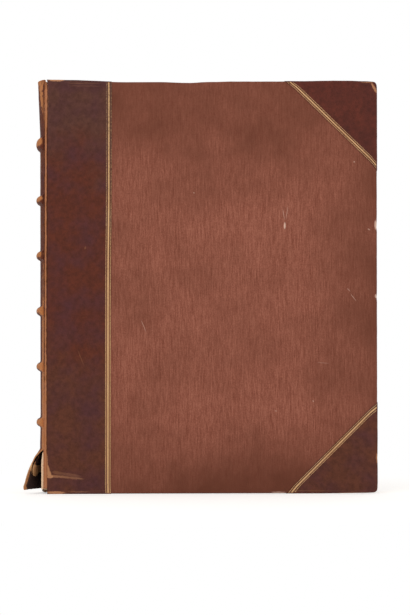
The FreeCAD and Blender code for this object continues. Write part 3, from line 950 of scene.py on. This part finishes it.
@dataclass
class Cover:
    """One cover: its board, leather, cloth, gilding and pastedown, all aged together.

    Args:
        side: which cover it is.
        finishes: the finishes of the book.
        head_line: how far the head edge stands above or below a straight one, from the hinge line on.
        head_share: how much of that unevenness this cover has.
        dents: where its fore-edge is chipped, as height, half length and depth.
        notch_shift: how far it reaches over the joint at the head.
        tail_rise: how far its tail edge rises towards the fore-edge.
        blunted: how far its corners are worn back.
        fray: how far its worn edges wander.
        slice_width: how finely its pieces are cut.
        pieces: what has been made of it so far.
    """

    side: Side
    finishes: Finishes
    head_line: tuple[tuple[float, float], ...] = (
        (-10.0, 0.3), (12.0, 0.0), (63.0, -1.2), (90.0, -0.95), (112.0, -1.5), (130.0, -0.6), (150.0, -0.1),
        (200.0, 0.15), (234.0, 0.75), (270.0, 0.2))
    head_share: float = 1.0
    dents: tuple[tuple[float, float, float], ...] = ((214.7, 4.0, 0.45), (157.7, 2.0, 0.4), (28.0, 6.0, 0.3))
    notch_shift: float = 0.7
    tail_rise: float = 0.5
    blunted: float = 0.3
    fray: float = 0.12
    slice_width: float = 4.0
    pieces: list[Piece] = field(default_factory=list)

    def build(self) -> None:
        """Makes and dresses every piece of the cover."""
        finishes = self.finishes
        self.work("board", finishes.board)
        self.work("cloth_side", finishes.cloth)
        self.work("pastedown", finishes.endpaper)
        for part, fillet in FILLETS.items():
            leather = finishes.corner_leather if part == "head_corner" else finishes.leather
            self.work(f"{part}_leather", leather, fillet)
            gilt = self.work(f"{part}_gilt_fillet", finishes.gilt, fillet)
            paint(gilt, "rub", self.rubbing)
        dress(f"{self.side.value}_lacing_slips", finishes.hemp)
        body = f"{self.side.value}_cover"
        paper = edge_paper(self.side, "board_edge_paper", 0.1, 17.8, body, finishes.endpaper)
        self.pieces.append(paper)
        LOG.info("%s cover: %d pieces", self.side.value, len(self.pieces))

    def work(self, part: str, material: Material, fillet: Optional[Fillet] = None) -> Piece:
        """Makes one piece of the cover from its solid.

        Args:
            part: the solid's name without the side.
            material: its finish.
            fillet: the gilt lines on it, if it has any.

        Returns:
            The finished piece.
        """
        node = f"{self.side.value}_{part}"
        piece = WorkedPiece.copied(node)
        if fillet:
            piece.shape(fillet.respaced)
        piece.slice(Axis.X, self.slice_width)
        piece.slice(Axis.Z, self.slice_width)
        piece.shape(self.age)
        made = piece.made(f"{node}_aged", material)
        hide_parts(node)
        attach(made, f"{self.side.value}_cover")
        self.pieces.append(made)
        return made

    def age(self, point: Vector) -> Vector:
        """Where a point of the new cover is on the old one.

        Args:
            point: the point in the book, in millimetres.

        Returns:
            The point after the cover has warped, and its edges and corners have worn.
        """
        warped = point.copy()
        for fillet in FILLETS.values():
            warped = fillet.drifted(warped)
        below_head, inside = COVER_HEIGHT - point.z, COVER_WIDTH - point.x
        warped.x -= self.notch_shift * self.head_share * ease(7.0, 1.0, point.x) * ease(5.0, 0.0, below_head)
        warped.z += self.head_rise(point.x) * ease(34.0, 2.0, below_head)
        warped.z += self.tail_rise * ease(49.0, 2.0, inside) * ease(30.0, 2.0, point.z)
        for height, half, depth in self.dents:
            bite = ease(half, 0, abs(point.z - height)) * ease(5.0, 0.0, inside)
            warped.x -= depth * self.head_share * bite
        for end in (0.0, COVER_HEIGHT):
            blunt = self.blunted * ease(7.0, 1.0, math.hypot(inside, end - point.z))
            warped.x -= blunt
            warped.z += blunt if end == 0.0 else -blunt
        warped.x += self.fray * ease(1.5, 0.0, inside) * rough(point, 5.0)
        warped.z += self.fray * ease(2.0, 0.0, below_head) * rough(point, 6.0, 3.0)
        return warped

    def head_rise(self, x: float) -> float:
        """How far the head edge stands above a straight one.

        Args:
            x: distance from the hinge line, in millimetres.

        Returns:
            The rise in millimetres, below zero where the edge dips.
        """
        for (x0, rise0), (x1, rise1) in zip(self.head_line, self.head_line[1:]):
            if x0 <= x <= x1:
                return self.head_share * (rise0 + (rise1 - rise0) * ease(x0, x1, x))
        return 0.0

    @staticmethod
    def rubbing(point: Vector) -> float:
        """How far a gilt line is rubbed: most towards the head, and most on the line beside the hand.

        Args:
            point: the point in the book, in millimetres.

        Returns:
            What is added to the worn share.
        """
        fillet = min(FILLETS.values(), key=lambda each: abs(each.across(point)))
        thin = 0.16 if abs(fillet.across(point) - fillet.head_drift) > 1.0 else 0.0
        head = 0.22 * ease(170, 310, point.z) if point.x < COVER_WIDTH / 2 else 0.0
        return thin + head


@dataclass
class Spine:
    """The spine: its leather with the bands, the splayed head and the torn tail, and what is under it.

    Args:
        finishes: the finishes of the book.
        centre_x: where the middle of the spine's curve is.
        radius: the radius of that curve at the leather's face.
        tear_top: how high the tear at the tail goes.
        flap_x: where the torn leather is free, as a distance from the hinge line.
        crack_y: how deep the crack beside the front joint lies at the head.
        lean: how far the spine leans back from the tail to the head, for each millimetre.
    """

    finishes: Finishes
    centre_x: float = 64.05
    radius: float = 69.85
    tear_top: float = 35.8
    flap_x: float = -3.4
    crack_y: float = -19.1
    lean: float = 0.0028

    def build(self) -> None:
        """Makes and dresses the spine."""
        leather = self.leather()
        self.lining()
        self.torn_lining()
        for number in range(len(BAND_HEIGHTS)):
            dress(f"sewing_cord_{number + 1}", self.finishes.hemp)
        for end in ("head", "tail"):
            dress(f"{end}_endband", self.finishes.silk)
        LOG.info("spine: leather of %d faces", len(leather.data.polygons))

    def leather(self) -> Piece:
        """The spine's leather, worn on the bands and frayed along the tear.

        Returns:
            The finished piece.
        """
        piece = WorkedPiece.copied("spine_leather")
        piece.slice(Axis.Z, 1.8)
        piece.slice(Axis.Y, 2.2)
        piece.slice(Axis.Y, 0.5, low=-COVER_HALF, high=5.0 - COVER_HALF)
        piece.slice(Axis.X, 1.2, high=-5.6)
        piece.slice(Axis.X, 0.3, low=SPINE_EDGE, high=-0.15)
        piece.shape(self.age)
        piece.mesh.normal_update()
        for face in piece.mesh.faces:
            face.material_index = self.layer(in_book(face.calc_center_median()), face.normal)
        finishes = self.finishes
        made = piece.made(
            "spine_leather_aged", finishes.spine_leather, finishes.flesh, finishes.torn_leather,
            finishes.scrap, smooth=50.0)
        paint(made, "wear", self.wear)
        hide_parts("spine_leather")
        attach(made, "text_block")
        return made

    def proud(self, point: Vector) -> float:
        """How far a point stands out from the curve of the spine, in millimetres."""
        return math.hypot(point.x - self.centre_x, point.y) - self.radius

    def off_crack(self, point: Vector) -> float:
        """How far a point is from the crack beside the front joint, in millimetres."""
        return abs(point.y - self.crack_y + 0.25 * rough(point, 12.0))

    def layer(self, point: Vector, normal: Vector) -> int:
        """Which of the leather's finishes a face has.

        Args:
            point: the face's middle in the book, in millimetres.
            normal: the direction that it faces.

        Returns:
            0 for the grain side, 1 for the flesh side, 2 for a torn edge and 3 for paper left on it.
        """
        if point.z > self.tear_top or point.x > self.flap_x:
            inward = normal.x * (self.centre_x - point.x) - normal.y * point.y
            return 1 if self.proud(point) < -0.6 and inward > 0 and point.x < SPINE_EDGE else 0
        facing = normal.dot(FLAP_OUTWARD)
        if abs(facing) < 0.15 or abs(normal.z) > 0.8:
            return 2
        if facing > 0:
            return 0
        beside_tip = point.x - SCRAP_TIP_X
        foot = SCRAP_FOOT + max(-1.9 * beside_tip, 0.75 * beside_tip) + rough(point, 2.5)
        return 3 if foot < point.z < self.scrap_top(point) else 1

    @staticmethod
    def scrap_top(point: Vector) -> float:
        """How high the paper on the torn leather reaches at a point, in millimetres."""
        return 24.0 - 0.25 * (point.x + 13.0) + 0.8 * rough(point, 3.0, 6.0)

    def notched(self, point: Vector) -> Vector:
        """The point, pushed back from the notch between the head of the spine and the cover.

        Args:
            point: the point in the book, in millimetres.

        Returns:
            The point beside the notch.
        """
        limit = -0.15 - 2.2 * ease(NOTCH_FOOT, NOTCH_TOP, point.z)
        return Vector((min(point.x, limit), point.y, point.z)) if point.x > SPINE_EDGE else point

    def age(self, point: Vector) -> Vector:
        """Where a point of the new spine is on the old one.

        Args:
            point: the point in the book, in millimetres.

        Returns:
            The point after the leather has dried, wrinkled and torn.
        """
        aged = self.notched(point)
        if point.x > -2.45 and abs(point.y) > 20.4:
            aged.y = math.copysign(20.2, point.y)
        free = ease(self.tear_top + 2, self.tear_top - 14, point.z) * ease(8, -16, point.y)
        swung = ease(self.tear_top + 1, self.tear_top - 3, point.z) * ease(2.5, 6.0, point.z)
        aged.x -= 1.1 * swung * ease(10, -14, point.y) * ease(-6.0, -9.0, point.x)
        leaning = ease(SPINE_EDGE, -4.5, point.x) * ease(self.tear_top, 60, point.z)
        aged.x -= self.lean * (point.z - 170.0) * leaning
        offset = point.z - BAND_HEIGHTS[-1]
        aged.z += 0.6 * ease(9, 4, abs(offset)) + 0.45 * offset * ease(8, 3, abs(offset))
        crack = ease(0.8, 0.0, self.off_crack(point)) * ease(296, 316, point.z)
        aged.x += 0.45 * crack * ease(-2.6, -3.2, point.x)
        aged.z += 0.7 * free * rough(point, 4.0, 2.0)
        aged.x += 0.18 * rough(point, 9.0, 5.0) * free
        aged.x += 0.08 * rough(point, 5.0, 1.0)
        return aged

    def wear(self, point: Vector) -> float:
        """How far the spine's leather is rubbed: on the bands, at the head and along the joints.

        Args:
            point: the point in the book, in millimetres.

        Returns:
            The share of the dye that is gone.
        """
        if point.z < self.tear_top and point.x < -4.5:
            edge = ease(36.2, 39.4, math.hypot(point.x + 2.6, point.y - COVER_HALF))
            upper = 0.4 * ease(23.0, 29.0, point.z)
            return max(0.8 * edge, upper) + 0.15 * rough(point, 5.0)
        band = min(BAND_HEIGHTS, key=lambda height: abs(height - point.z))
        crest = ease(1.2, 2.6, self.proud(point)) * ease(-3.4, 0.4, point.z - band)
        joint = (0.1 + 0.75 * ease(270, 60, point.z)) * ease(11.0, 18.0, abs(point.y))
        cap = 0.5 * ease(COVER_HEIGHT - 6, COVER_HEIGHT, point.z)
        return max(0.85 * crest, joint, cap, self.bare_head(point)) + 0.16 * rough(point, 9.0)

    def bare_head(self, point: Vector) -> float:
        """How bare the leather is at the head, beside the front joint, where it has cracked.

        Args:
            point: the point in the book, in millimetres.

        Returns:
            The share of the dye that is gone.
        """
        reach = -8.0 - 0.28 * (326 - point.z) - 0.45 * max(0.0, 306 - point.z) + 1.4 * rough(point, 6.0, 8.0)
        patchy = 0.66 + 0.6 * rough(point, 2.6, 9.0)
        bare = patchy * ease(reach, reach - 2.0, point.y) * ease(282, 290, point.z)
        return bare - 0.9 * ease(1.0, 0.2, self.off_crack(point)) * ease(290, 312, point.z)

    def lining(self) -> None:
        """The paper lining of the spine, with the scrap that has stayed on the torn leather."""
        piece = WorkedPiece.copied("spine_lining")
        piece.slice(Axis.Z, 1.5)
        piece.slice(Axis.X, 1.5, high=-5.6)
        for face in piece.mesh.faces:
            point = in_book(face.calc_center_median())
            # Lining on the torn flap: the scrap below its top, and above it the dark flesh finish, which
            # paints the shade of the hollow under the flap.
            if point.x < -6.0 or point.z < self.tear_top:
                face.material_index = 1 if point.z < self.scrap_top(point) else 2
        finishes = self.finishes
        made = piece.made("spine_lining_aged", finishes.lining, finishes.scrap, finishes.flesh)
        paint(made, "wear", self.wear)
        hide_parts("spine_lining")
        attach(made, "text_block")

    def torn_lining(self) -> None:
        """The edge of the paper lining that stands along the tear, beside the front joint."""
        foot, length, width, thickness = 4.0, 29.0, 2.1, 0.25
        held_x, held_y = -2.4, -19.6

        def spot(across: float, along: float) -> Vector:
            """Where a vertex of the paper is.

            Args:
                across: its share of the way out from the joint.
                along: its share of the way up the tear.

            Returns:
                The point in Blender's frame.
            """
            z = foot + length * along
            frayed = 0.35 * rough(Vector((0.0, 0.0, z)), 3.0, 7.0) - 0.9 * ease(0.75, 1.0, along)
            return place(held_x - (width + frayed) * across, held_y + 0.7 * across * across, z)

        strip = WorkedPiece.strip(4, 36, spot)
        bmesh.ops.solidify(strip.mesh, geom=strip.mesh.faces[:], thickness=thickness * MM)
        bmesh.ops.recalc_face_normals(strip.mesh, faces=strip.mesh.faces)
        made = strip.made("torn_lining_edge", self.finishes.lining)
        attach(made, "text_block")


@dataclass
class Joint:
    """The leather that bends between the spine and one cover.

    Args:
        side: which cover it joins.
        finishes: the finishes of the book.
        tail: how high its lower end is.
        notch: how wide the notch at its head is.
        spine_edge: where it meets the spine.
        cover_edge: where it meets the cover.
        head_gap: how far below the cover's head it ends.
        cracks: where the fine cracks run, as a share of its width, and how wide they are.
        thickness: the leather's thickness.
    """

    side: Side
    finishes: Finishes
    tail: float = 0.0
    notch: float = 0.0
    spine_edge: float = -2.75
    cover_edge: float = 0.15
    head_gap: float = 0.4
    cracks: tuple[tuple[float, float], ...] = ((0.2, 0.13), (0.86, 0.1))
    thickness: float = 0.7

    def build(self) -> None:
        """Makes the strip and sinks and cracks it."""
        outward = self.side.outward

        def spot(across: float, along: float) -> Vector:
            """Where a vertex of the strip is.

            Args:
                across: its share of the way from the spine to the cover.
                along: its share of the way from the tail to the head.

            Returns:
                The point in Blender's frame.
            """
            z = self.tail + (COVER_HEIGHT - self.head_gap - self.tail) * along
            narrowing = self.notch * ease(NOTCH_FOOT, NOTCH_TOP, z)
            x = self.spine_edge + (self.cover_edge - narrowing - self.spine_edge) * across
            crack = sum(ease(width, 0.0, abs(across - middle)) for middle, width in self.cracks)
            sunk = 0.3 * crack + 0.12 * (1 + rough(Vector((x, 0.0, z)), 2.2)) * math.sin(math.pi * across)
            return place(x, outward * (COVER_HALF - 0.05 - max(0.0, sunk)), z)

        strip = WorkedPiece.strip(14, 240, spot)
        bmesh.ops.recalc_face_normals(strip.mesh, faces=strip.mesh.faces)
        facing = sum(face.normal.y for face in strip.mesh.faces) * outward
        if facing < 0:
            bmesh.ops.reverse_faces(strip.mesh, faces=strip.mesh.faces)
        bmesh.ops.solidify(strip.mesh, geom=strip.mesh.faces[:], thickness=self.thickness * MM)
        made = strip.made(f"{self.side.value}_joint_leather", self.finishes.joint_leather)
        paint(made, "wear", self.wear)
        end = place(self.cover_edge, outward * COVER_HALF, COVER_HEIGHT / 2)
        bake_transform(made)
        LOG.info("%s joint: %d faces", self.side.value, len(made.data.polygons))

    def wear(self, point: Vector) -> float:
        """How far the joint is rubbed: most along its middle, where it bends.

        Args:
            point: the point in the book, in millimetres.

        Returns:
            The share of the dye that is gone.
        """
        wander = 0.25 * rough(Vector((0.0, 0.0, point.z)), 14.0)
        ridge = ease(0.95, 0.35, abs(point.x + 1.45 + wander))
        lower = ease(170, 40, point.z) * ease(0.0, -0.9, point.x)
        head = ease(286, 296, point.z) * ease(-0.1, -0.6, point.x)
        tail = ease(40, 25, point.z) * ease(0.2, -0.3, point.x)
        dark = ease(0.9, 0.0, abs(point.x - 0.1)) * ease(300, 288, point.z) * ease(25, 40, point.z)
        cleft = ease(0.45, 0.0, abs(point.x + 2.5 + wander)) * ease(60, 110, point.z)
        bare = max(0.5 * ridge, 0.6 * lower, 0.5 * head, 0.75 * tail)
        return bare - 0.6 * dark - 0.6 * cleft + 0.3 * rough(point, 3.0, 4.0)


@dataclass
class Leaves:
    """The sewn block of leaves with its free endpapers.

    Args:
        finishes: the finishes of the book.
        leaf_step: how thick one slice of leaves is.
        unevenness: how far a slice stands back from its neighbours.
        back_x: behind which its folds are seen through the tear.
        lining_y: in front of which the lining still sticks to them.
    """

    finishes: Finishes
    leaf_step: float = 0.75
    unevenness: float = 0.22
    back_x: float = -1.2
    lining_y: float = -8.5

    def build(self) -> None:
        """Makes and dresses the leaves."""
        piece = WorkedPiece.copied("text_block")
        piece.slice(Axis.Y, self.leaf_step)
        piece.shape(self.age)
        for face in piece.mesh.faces:
            point = in_book(face.calc_center_median())
            # Folds at the back of the block: in front of lining_y the lining still sticks to them; behind it
            # they take the dark glue finish, which also paints the shade of the hollow under the torn flap.
            if point.x < self.back_x:
                face.material_index = 1 if point.y > self.lining_y else 2
        finishes = self.finishes
        made = piece.made("text_block_aged", finishes.leaves, finishes.glued, finishes.lining, smooth=20.0)
        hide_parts("text_block")
        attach(made, "text_block")
        for side in Side:
            dress(f"{side.value}_free_endpaper", finishes.endpaper)
            edge_paper(side, "shoulder_paper", -0.1, 17.6, "text_block", finishes.endpaper)
        LOG.info("leaves: %d faces", len(made.data.polygons))

    def age(self, point: Vector) -> Vector:
        """Where a point of the evenly cut block is on the old one.

        Args:
            point: the point in the book, in millimetres.

        Returns:
            The point after the sections have shifted a little.
        """
        if abs(point.y) > 14.9:
            return point
        aged = point.copy()
        step = self.unevenness * (0.5 + 0.5 * rough(Vector((0, point.y, 0)), 1.1))
        if point.z > COVER_HEIGHT - 5:
            aged.z -= step
        elif point.z < 5:
            aged.z += step
        elif point.x > COVER_WIDTH - 12:
            aged.x -= step
        return aged


@dataclass
class Studio:
    """The pale floor, the soft lights and the camera of the photograph.

    Args:
        aim: the point on the front cover in the middle of the picture, in metres.
        distance: how far the camera is from it.
        azimuth: how far the camera is round the book, in degrees.
        elevation: how far it is above the horizon, in degrees.
        picture_height: how high the picture is at the cover, in metres.
        sensor: the camera's sensor width, in millimetres.
    """

    aim: tuple[float, float, float] = (0.0028, -0.0209, 0.1484)
    distance: float = 2.0
    azimuth: float = -3.0
    elevation: float = -1.6
    picture_height: float = 0.4908
    sensor: float = 36.0

    def build(self) -> None:
        """Makes the camera, the floor and the light."""
        self.camera()
        self.floor()
        self.world()
        self.lamp("key", (-0.9, -1.7, 1.5), 1.6, 17.0)
        self.lamp("fill", (1.5, -1.6, 0.7), 1.8, 9.0)
        self.lamp("back", (0.2, 1.8, 1.4), 1.6, 10.0)
        scene = bpy.context.scene
        scene.view_settings.view_transform = "Standard"
        LOG.info("studio: camera %.2f m away", self.distance)

    def camera(self) -> None:
        """The camera, level with the photograph's."""
        data = bpy.data.cameras.new("camera")
        data.sensor_width = self.sensor
        data.lens = self.sensor * self.distance / self.picture_height
        data.clip_start, data.clip_end = 0.05, 50.0
        camera = bpy.data.objects.new("camera", data)
        turn, rise = math.radians(self.azimuth), math.radians(self.elevation)
        back = Vector((math.sin(turn) * math.cos(rise), -math.cos(turn) * math.cos(rise), math.sin(rise)))
        camera.location = Vector(self.aim) + back * self.distance
        camera.rotation_euler = (-back).to_track_quat("-Z", "Y").to_euler()
        bpy.context.scene.collection.objects.link(camera)
        bpy.context.scene.camera = camera

    @staticmethod
    def followed(add: Adder, first: str, *others: str) -> Socket:
        """Whether the light's path is one of some kinds of ray.

        Args:
            add: adds a node to the material or the world.
            first: the first kind.
            others: the other kinds.

        Returns:
            1 for those kinds and 0 for all others.
        """
        found = add("LightPath", output=first)
        for kind in others:
            ray = add("LightPath", output=kind)
            found = add("Math", {0: found, 1: ray}, operation="MAXIMUM")
        return found

    @staticmethod
    def floor() -> None:
        """The floor, nearly white to the camera, with the book's own soft shadow on it."""
        shape = bmesh.new()
        bmesh.ops.create_grid(shape, x_segments=1, y_segments=1, size=20.0)
        data = bpy.data.meshes.new("floor")
        shape.to_mesh(data)
        shape.free()
        floor = bpy.data.objects.new("floor", data)
        bpy.context.scene.collection.objects.link(floor)
        material = bpy.data.materials.new("matt_white_floor")
        material.use_nodes = True
        material.node_tree.nodes.clear()
        add = partial(add_node, material.node_tree)
        seen = Studio.followed(add, "Is Camera Ray", "Is Glossy Ray", "Is Transmission Ray")
        matt = add("BsdfDiffuse", {"Color": linear("#dedbd6")})
        white = add("Emission", {"Color": linear("#ffffff"), "Strength": 1.0})
        glow = add("Emission", {"Color": linear("#ffffff"), "Strength": 0.5})
        lifted = add("AddShader", {0: matt, 1: glow})
        away = add("VectorMath", {0: add("TexCoord", output="Object")}, operation="LENGTH")
        far = add("MapRange", {"Value": away, 1: 0.18, 2: 0.45}, interpolation_type="SMOOTHSTEP")
        near = add("MixShader", {0: far, 1: lifted, 2: white})
        mixed = add("MixShader", {0: seen, 1: matt, 2: near})
        add("OutputMaterial", {"Surface": mixed})
        data.materials.append(material)

    @staticmethod
    def world() -> None:
        """Even light from all round, and a white background."""
        world = bpy.data.worlds.new("studio")
        bpy.context.scene.world = world
        world.use_nodes = True
        world.node_tree.nodes.clear()
        add = partial(add_node, world.node_tree)
        seen = Studio.followed(add, "Is Camera Ray", "Is Transmission Ray")
        light = add("Background", {"Color": linear("#ffffff"), "Strength": 0.55})
        white = add("Background", {"Color": linear("#ffffff"), "Strength": 1.0})
        mixed = add("MixShader", {0: seen, 1: light, 2: white})
        add("OutputWorld", {"Surface": mixed})

    def lamp(self, name: str, spot: tuple[float, float, float], size: float, power: float) -> None:
        """One large soft lamp that points at the book.

        Args:
            name: the lamp's name.
            spot: where it stands, in metres.
            size: the width of its face, in metres.
            power: its power, in watts.
        """
        data = bpy.data.lights.new(name, "AREA")
        data.shape = "SQUARE"
        data.size = size
        data.energy = power
        lamp = bpy.data.objects.new(name, data)
        lamp.location = spot
        lamp.rotation_euler = (Vector(self.aim) - Vector(spot)).to_track_quat("-Z", "Y").to_euler()
        bpy.context.scene.collection.objects.link(lamp)


def main() -> None:
    """Builds the book piece by piece."""
    logging.basicConfig(level=logging.INFO, format="%(message)s")
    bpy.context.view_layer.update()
    Studio().build()
    finishes = Finishes()
    Leaves(finishes).build()
    Spine(finishes).build()
    Joint(Side.FRONT, finishes, tail=4.5, notch=2.4).build()
    Joint(Side.BACK, finishes, tail=0.3, notch=2.4).build()
    Cover(Side.FRONT, finishes).build()
    Cover(Side.BACK, finishes, head_share=0.4).build()


if __name__ == "__main__":
    main()
